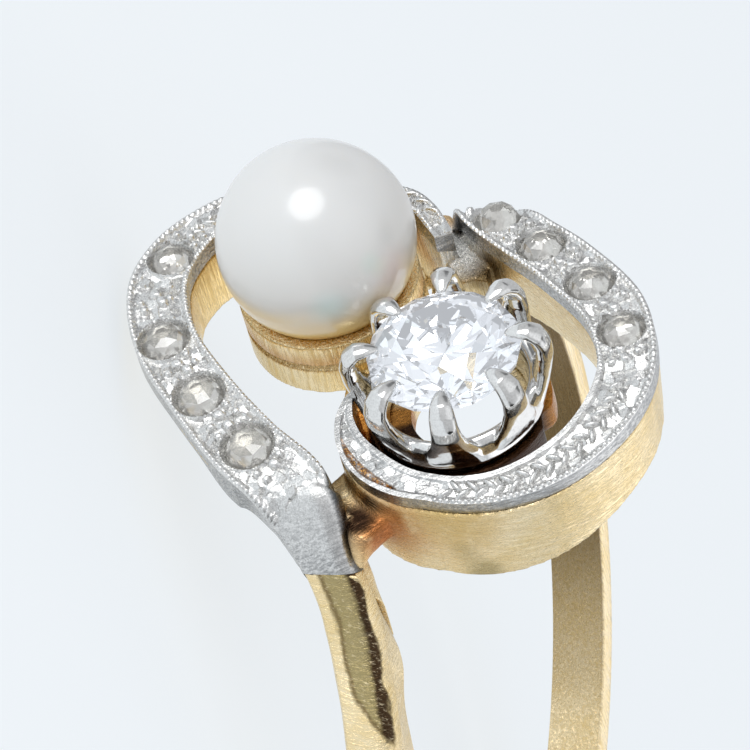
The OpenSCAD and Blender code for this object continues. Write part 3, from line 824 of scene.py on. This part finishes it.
def platinumFaces():
    for face in faces:
        rows = face["rows"]
        plan = {key: alongOf(rows, *face[key]) for key in ("from", "to", "innerTo")}
        plan["stain"] = [alongOf(rows, *place) for place in face["stain"]]
        taper = alongOf(rows, *face["taper"])
        plan["grains"] = grainRow(rows, face["stones"], taper, plan["to"] - face["taperShort"])
        piece = ribbonFace(face["name"], rows, face["side"], {**face, **plan})
        layPiece(piece, platinum, face["node"])


platinumFaces()
print("platinum faces ready")

# The gold: the head's bodies from the part, cut off at the shoulders, and a crowned hoop from there on.
goldWork = {
    "cutX": 5.332, "cutWeld": 0.0001, "voxel": 0.062, "rounds": 3, "chunk": 4000, "wallShare": 1.15,
    # how far the pearl ribbon's outer wall leans in per millimetre down: all of it, and its shoulder more
    "draft": (0.3, 0.3), "draftFrom": (3.5, 4.3), "draftMost": 0.95,
    # how far the near shoulder's border is drawn in, on the hoop and on the head
    "borderIn": (0.04, 0.3), "tuckFrom": (4.8, 5.3),
    # how far the near shoulder's finger side leans out: most by height, depth, and distance along
    "flare": (0.17, 0.2), "flareHigh": (3.8, 5.4, 5.2, 6.8), "flareDeep": 0.9, "flareFrom": (3.6, 5.0),
    "flareFade": (-2.3, -1.2),
    # how far the diamond ribbon's outer wall leans in on its far side
    "farDraft": 0.14, "farFrom": (-2.0, 0.5), "farTo": (-4.9, -3.4),
    # the cup's hollow: how near to the pearl it closes, from how far, and how far under its middle
    "seatGap": 0.004, "seatPull": 0.09, "seatBelow": 1,
    # places where solder runs smoothly between the bodies, and how far it reaches
    "joints": [((-4.3, -0.05, 9.6), 1.5), ((4.1, 0.0, 9.6), 1.4)], "jointRounds": 40, "jointCore": 0.5,
    "jointLeast": 0.01,
}


def draftOf(x, depth):
    # how far the pearl ribbon's outer wall has moved in, at a depth under its face
    least, more = goldWork["draft"]
    return np.minimum((least + more * softStep(-x, *goldWork["draftFrom"])) * depth, goldWork["draftMost"])


def flareOf(x, z, depth):
    # how far the near shoulder's other wall has moved out
    work = goldWork
    least, more = work["flare"]
    a, b, c, d = work["flareHigh"]
    most = least * softStep(z, a, b) + more * softStep(z, c, d)
    return most * softStep(depth, 0.0, work["flareDeep"]) * softStep(-x, *work["flareFrom"])


def pearlMove(share, x, z, depth):
    # the pearl ribbon's walls: share is -1 on its inner wall and 1 on its outer one
    work = goldWork
    tucked = work["borderIn"][1] * softStep(-x, *work["tuckFrom"])
    move = (draftOf(x, depth) + tucked) * softStep(share, -1.0, 1.0) * (share < work["wallShare"])
    return move + flareOf(x, z, depth) * softStep(-share, 0.0, 1.0) * softStep(share, *work["flareFade"])


def diamondMove(share, x, z, depth):
    # the diamond ribbon's outer wall, on the far side
    work = goldWork
    move = work["farDraft"] * depth * softStep(x, *work["farFrom"]) * softStep(-x, *work["farTo"])
    return move * (softStep(share, -1.0, 1.0) * (share < work["wallShare"]))


def leanWalls(xyz, rows, side, moveOf):
    # moves points against the normal of the nearest place on a ribbon's line, by what moveOf says
    points, normals, widths, _ = ribbonLine(rows, lineWork["walls"])
    for i in range(0, len(xyz), goldWork["chunk"]):
        part = xyz[i:i + goldWork["chunk"]]
        away = part[:, None, :2] - points[None]
        nearest = np.argmin((away ** 2).sum(2), 1)
        share = (away[np.arange(len(part)), nearest] * normals[nearest]).sum(1) / (widths[nearest] / 2)
        x, z = part[:, 0], part[:, 2]
        depth = np.maximum(headZ(x, side) - ring["faceT"] - z, 0)
        part[:, :2] -= normals[nearest] * moveOf(share, x, z, depth)[:, None]


def seatPearl(xyz):
    # the cup's hollow closes up to the pearl
    work = goldWork
    middle = np.array(ring["pearlAt"])
    away = xyz - middle
    far = np.linalg.norm(away, axis=1)
    reach = ring["pearlR"] + work["seatGap"]
    close = (far < reach + work["seatPull"]) & (xyz[:, 2] < middle[2] - work["seatBelow"])
    xyz[close] = middle + away[close] * (reach / far[close])[:, None]


def goldHead():
    work = goldWork
    piece = standingCopy("gold_mount", "gold_head")
    bpy.ops.object.mode_set(mode="EDIT")
    for place, normal in (((-1, 0, 0), (-1, 0, 0)), ((1, 0, 0), (1, 0, 0)), ((0, 0, 0), (0, 0, -1))):
        bpy.ops.mesh.select_all(action="SELECT")
        bpy.ops.mesh.bisect(
            plane_co=[work["cutX"] * k for k in place], plane_no=normal, clear_outer=True, use_fill=True,
            threshold=work["cutWeld"])
    bpy.ops.object.mode_set(mode="OBJECT")
    remeshed(piece, work["voxel"])
    points = np.empty(len(piece.data.vertices) * 3)
    piece.data.vertices.foreach_get("co", points)
    points = points.reshape(-1, 3)
    leanWalls(points, pearlRibbon, -1, pearlMove)
    leanWalls(points, diamondRibbon, 1, diamondMove)
    setPoints(piece, points)
    solder = piece.vertex_groups.new(name="solder")
    for spot, reach in work["joints"]:
        away = np.linalg.norm(points - np.array(spot), axis=1)
        share = 1 - softStep(away, reach * work["jointCore"], reach)
        for i in np.nonzero(share > work["jointLeast"])[0]:
            solder.add([int(i)], float(share[i]), "REPLACE")
    smoothed(piece, work["rounds"])
    smoothed(piece, work["jointRounds"], "solder")
    points = np.array([v.co for v in piece.data.vertices])
    seatPearl(points)
    setPoints(piece, points)
    bpy.ops.object.shade_smooth()
    layPiece(piece, gold, "gold_mount")


hoopWork = {
    # the hoop below its shoulders: half width, and a slight lean away from a height
    "half": 0.66, "lean": 0.01745, "leanZ": 5.0, "plainFrom": 6.0, "plainRun": 1.8,
    # turns of the sweep: close together for this far with so many, then one for each step in degrees
    "endX": 9.2, "samples": 200, "closeTurn": 0.3, "closeCount": 16, "step": 1.2, "footRun": 0.45,
    # one section: points over the top, depths down each wall, shares across the inside
    "across": 21, "walls": (0.5, 0.9), "inside": (-0.94, -0.6, 0, 0.6, 0.94),
    "borderRun": 0.6, "slopeTo": 4.5, "edgeRows": 160,
}


def shoulderEdges(rows, side):
    # both edges of a ribbon over its shoulder, low Y first: distance from the middle, Y
    points, normals, widths, _ = ribbonLine(rows, lineWork["walls"])
    left = points + normals * widths[:, None] / 2
    right = points - normals * widths[:, None] / 2
    edges = []
    for line in (right, left) if side < 0 else (left, right):
        line = line[:hoopWork["edgeRows"]]
        line = line[np.argsort(line[:, 0] * side)]
        edges.append((line[:, 0] * side, line[:, 1]))
    return edges


def hoopSection(turn, foot):
    # round one loop of the hoop: share across, depth towards the finger, turn
    work = hoopWork
    onWall = [(depth, turn + (foot - turn) * depth) for depth in work["walls"]]
    top = [(share, 0, turn) for share in np.linspace(1, -1, work["across"])]
    near = [(-1, depth, swing) for depth, swing in onWall]
    inside = [(share, 1, foot) for share in work["inside"]]
    far = [(1, depth, swing) for depth, swing in onWall[::-1]]
    return top + near + inside + far


def hoopPoint(side, edges, outer, share, depth, swing):
    work = hoopWork
    reach = outer + (ring["fingerR"] - outer) * depth
    x, z = side * reach * sin(swing), reach * cos(swing)
    yLow, yHigh = (np.interp(abs(x), *edge) for edge in edges)
    plain = float(softStep(z, work["plainFrom"], work["plainFrom"] - work["plainRun"]))
    if side < 0:
        under = max(outer - reach - ring["faceT"], 0)
        cutX, borderIn = goldWork["cutX"], goldWork["borderIn"][0]
        yHigh -= float(draftOf(x, under)) * (1 - plain)
        yHigh -= borderIn * float(softStep(abs(x), cutX + work["borderRun"], cutX))
        yLow -= float(flareOf(x, z, under)) * (1 - plain)
    middle = (yLow + yHigh) / 2 * (1 - plain) + work["lean"] * (z - work["leanZ"]) * plain
    half = (yHigh - yLow) / 2 * (1 - plain) + work["half"] * plain
    if depth == 0:
        drop = float(crownDrop(np.float64(share), half, 1))
        lean = atan(-headSlope(x, side) * side) if z > work["slopeTo"] else swing
        x, z = x - side * drop * sin(lean), z - drop * cos(lean)
    return x, middle + share * half, z


def goldHoop():
    work = hoopWork
    halves, shares, depths = [], [], []
    for rows, side in ((pearlRibbon, -1), (diamondRibbon, 1)):
        xs = np.linspace(goldWork["cutX"], work["endX"], work["samples"])
        zs = headZ(xs * side, side)
        turns, reaches = np.arctan2(xs, zs), np.hypot(xs, zs)
        edges = shoulderEdges(rows, side)
        start, closeEnd = turns[0], turns[0] + work["closeTurn"]
        sweep = np.concatenate([
            np.linspace(start, closeEnd, work["closeCount"])[:-1],
            np.arange(closeEnd, pi, radians(work["step"])),
        ])
        footAhead = asin(goldWork["cutX"] / ring["fingerR"]) - start
        half = []
        for turn in sweep:
            outer = np.interp(turn, turns, reaches)
            foot = turn + np.clip(1 - (turn - start) / work["footRun"], 0, 1) * footAhead
            section = hoopSection(turn, foot)
            half.append([hoopPoint(side, edges, outer, *row) for row in section])
            shares.append([share for share, _, _ in section])
            depths.append([depth for _, depth, _ in section])
        halves.append(half)
    marks = {"across": np.array(shares, float), "deep": np.array(depths, float)}
    piece = rolledSheet("gold_hoop", np.array(halves[0] + halves[1][::-1]), marks)
    smoothByAngle(piece)
    layPiece(piece, shankGold, "gold_mount")


goldHead()
goldHoop()
print("gold ready")

# The claw setting: a basket of eight rounded claws, cast in one.
clawWork = {
    "count": 8, "turn": 10, "loops": 21, "sides": 16, "bandLoops": 97, "endShare": 0.55,
    "voxel": 0.036, "rounds": 8,
    # middle line of a claw: distance from the stone's axis, height over the girdle, half thickness and width
    "line": [
        (1.78, -1.86, 0.12, 0.6), (1.9, -1.5, 0.18, 0.72), (2.03, -1.1, 0.2, 0.62), (2.15, -0.75, 0.2, 0.45),
        (2.24, -0.4, 0.2, 0.37), (2.25, -0.08, 0.2, 0.33), (2.16, 0.18, 0.19, 0.31), (1.97, 0.34, 0.16, 0.27),
        (1.76, 0.37, 0.12, 0.22), (1.58, 0.36, 0.08, 0.15), (1.44, 0.34, 0.05, 0.09),
    ],
    # section of the band at the claws' feet
    "band": [
        (1.62, -1.96), (1.8, -1.99), (1.95, -1.9), (2.06, -1.68), (2.1, -1.4), (2.07, -1.18), (1.98, -1.04),
        (1.87, -0.99), (1.77, -1.05), (1.69, -1.2), (1.65, -1.5), (1.6, -1.8),
    ],
    # claws turned this way stand nearer in, beside the pearl: turn, within, share, and the heights between
    "tight": 55, "tightWithin": 30, "nearPearl": 0.93, "nearFrom": (-1.4, -0.5),
}


def clawLoops(line, degrees):
    # rings of points round a claw's middle line
    work = clawWork
    turn = radians(degrees)
    spread = work["nearPearl"] if abs(degrees - work["tight"]) < work["tightWithin"] else 1.0
    outward = np.array([cos(turn), sin(turn), 0])
    aside = np.array([-sin(turn), cos(turn), 0])
    loops = []
    for k, (reach, height, thick, wide) in enumerate(line):
        ahead = line[min(k + 1, len(line) - 1), :2] - line[max(k - 1, 0), :2]
        ahead /= np.linalg.norm(ahead)
        across = outward * ahead[1] - np.array([0, 0, ahead[0]])
        grow = 1 + (spread - 1) * softStep(height, *work["nearFrom"])
        centre = outward * reach * float(grow) + np.array([0, 0, height])
        end = work["endShare"] if k in (0, len(line) - 1) else 1.0
        loops.append([
            centre + across * thick * end * cos(q) + aside * wide * end * sin(q)
            for q in np.linspace(0, 2 * pi, work["sides"], endpoint=False)
        ])
    return np.array(loops)


def clawSetting():
    work = clawWork
    rows = np.array(work["line"])
    t, knots = np.linspace(0, 1, work["loops"]), np.linspace(0, 1, len(rows))
    line = np.stack([np.interp(t, knots, column) for column in rows.T], 1)
    turns = [work["turn"] + i * 360 / work["count"] for i in range(work["count"])]
    parts = [rolledSheet(f"claw_{i + 1}", clawLoops(line, turn)) for i, turn in enumerate(turns)]
    band = [
        [(r * cos(q), r * sin(q), h) for r, h in work["band"]]
        for q in np.linspace(0, 2 * pi, work["bandLoops"])
    ]
    parts.append(rolledSheet("claw_crown", np.array(band)))
    selectOnly(*parts)
    bpy.ops.object.join()
    piece = bpy.context.object
    piece.data.transform(Matrix.Translation(ring["stoneAt"]))
    remeshed(piece, work["voxel"])
    smoothed(piece, work["rounds"])
    bpy.ops.object.shade_smooth()
    layPiece(piece, polished, "claw_setting")


clawSetting()
print("claw setting ready")

# The pearl.
pearlWork = {"segments": 128, "rings": 96, "wave": 0.006, "waves": 0.9}


def pearl():
    work = pearlWork
    bpy.ops.mesh.primitive_uv_sphere_add(
        segments=work["segments"], ring_count=work["rings"], radius=ring["pearlR"], location=ring["pearlAt"])
    piece = bpy.context.object
    piece.name = piece.data.name = "round_pearl"
    wave = work["wave"] / ring["pearlR"]
    for v in piece.data.vertices:
        v.co *= 1 + wave * noise.noise(v.co * work["waves"]) - wave
    bpy.ops.object.shade_smooth()
    layPiece(piece, nacre, "pearl")


pearl()
print("pearl ready")

# Stones keep the part's own facets.
for node, material in [("brilliant", clear)] + [(f"rose_diamond_{i}", grey) for i in range(1, 9)]:
    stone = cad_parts[node]
    stone.data.materials.clear()
    stone.data.materials.append(material)

# Floor, light and camera
studio = {
    "floorSize": 1.2,
    "floor": {
        "Base Color": (0.25, 0.26, 0.27, 1), "Roughness": 0.9, "Specular IOR Level": 0.1,
        "Emission Color": (0.885, 0.93, 0.965, 1),
    },
    # the floor's glow, and the distances between which it falls to a share of it
    "floorGlow": 0.72, "glowFall": (0.06, 0.3), "dimShare": 0.45,
    "world": (0.95, 0.97, 1.0, 1), "base": 0.62, "darkest": 0.02,
    # panels of the tent: way to it from the upright ring, inner and outer half angle, brightness added
    "panels": [
        ((0, 0, 1), 15, 50, 0.12), ((0.1, -0.35, -0.8), 20, 55, 0.5), ((-0.15, -0.75, -0.65), 12, 36, 0.6),
        ((-0.2, -0.9, 0.5), 10, 40, 0.35), ((0.6, 0.9, 0.3), 10, 45, 0.3),
        ((-0.78, -0.46, -0.48), 8, 20, -0.7), ((0.2, -0.95, -0.1), 6, 16, -0.45),
        ((0.9, -0.2, 0.5), 6, 22, -0.4),
    ],
    "key": {"place": (0, 0, 100), "target": (0, 0, 11), "size": 62, "radiance": 3.4},
}


def studioFloor():
    bpy.ops.mesh.primitive_plane_add(size=studio["floorSize"], location=(0, 0, 0))
    floor = bpy.context.object
    floor.name = "floor"
    material, tree, shader = newMaterial("pale_floor")
    glow = studio["floorGlow"]
    away = tree.vector("LENGTH", tree.objectPoint())
    fade = tree.ranged(away, *studio["glowFall"], glow, glow * studio["dimShare"])
    tree.feed(shader, {**studio["floor"], "Emission Strength": fade})
    floor.data.materials.append(material)


def overheadLight():
    # radiance is how bright the panel looks
    key = studio["key"]
    data = bpy.data.lights.new("overhead", "AREA")
    data.shape = "DISK"
    data.size = key["size"] * resting["metresPerMm"]
    data.energy = key["radiance"] * (pi * data.size / 2) ** 2
    lamp = placed("overhead", data)
    start, end = (layDown @ Vector(key[k]) for k in ("place", "target"))
    lamp.location = start
    lamp.rotation_mode = "QUATERNION"
    lamp.rotation_quaternion = (end - start).to_track_quat("-Z", "Y")


def studioWorld():
    # a pale tent round the ring, with soft bright panels and a few dim gaps
    world = bpy.data.worlds.new("soft_studio")
    tree = ShaderTree(world)
    bpy.context.scene.world = world
    way = tree.add("TexCoord").outputs["Generated"]
    level = studio["base"]
    for towards, inner, outer, gain in studio["panels"]:
        aim = (leanTurn.to_3x3() @ Vector(towards)).normalized()
        low, high = cos(radians(outer)), cos(radians(inner))
        glow = tree.ranged(tree.vector("DOT_PRODUCT", way, aim), low, high, 0.0, gain)
        level = tree.plus(glow, level)
    level = tree.maths("MAXIMUM", level, studio["darkest"])
    tree.feed(tree.nodes["Background"], {"Color": studio["world"], "Strength": level})


# the photo's own view: degrees round the upright ring, and where the head's middle falls in the picture
lens = {
    "azimuth": 23.1, "elevation": 47.5, "roll": -16.8, "pixelsPerMm": 44.0, "headPixel": (392, 338),
    "headPoint": (0, 0, 11), "distance": 200.0, "picture": 750, "sensor": 36.0, "clip": (0.01, 10),
}


def photoCamera():
    az, el, roll = (radians(lens[k]) for k in ("azimuth", "elevation", "roll"))
    towards = Vector((-cos(el) * cos(az), -cos(el) * sin(az), sin(el)))
    stood = towards.to_track_quat("Z", "Y").to_matrix() @ Matrix.Rotation(roll, 3, "Z")
    focal = lens["pixelsPerMm"] * lens["distance"]
    offRight, offDown = ((at - lens["picture"] / 2) / focal for at in lens["headPixel"])
    place = Vector(lens["headPoint"]) + lens["distance"] * (stood @ Vector((-offRight, offDown, 1)))
    data = bpy.data.cameras.new("photo_view")
    data.sensor_width = lens["sensor"]
    data.lens = focal * lens["sensor"] / lens["picture"]
    data.clip_start, data.clip_end = lens["clip"]
    camera = placed("photo_view", data)
    camera.matrix_world = Matrix.Translation(layDown @ place) @ (leanTurn.to_3x3() @ stood).to_4x4()
    bpy.context.scene.camera = camera


studioFloor()
studioWorld()
overheadLight()
photoCamera()
bpy.context.scene.view_settings.view_transform = "Standard"
print("studio ready")
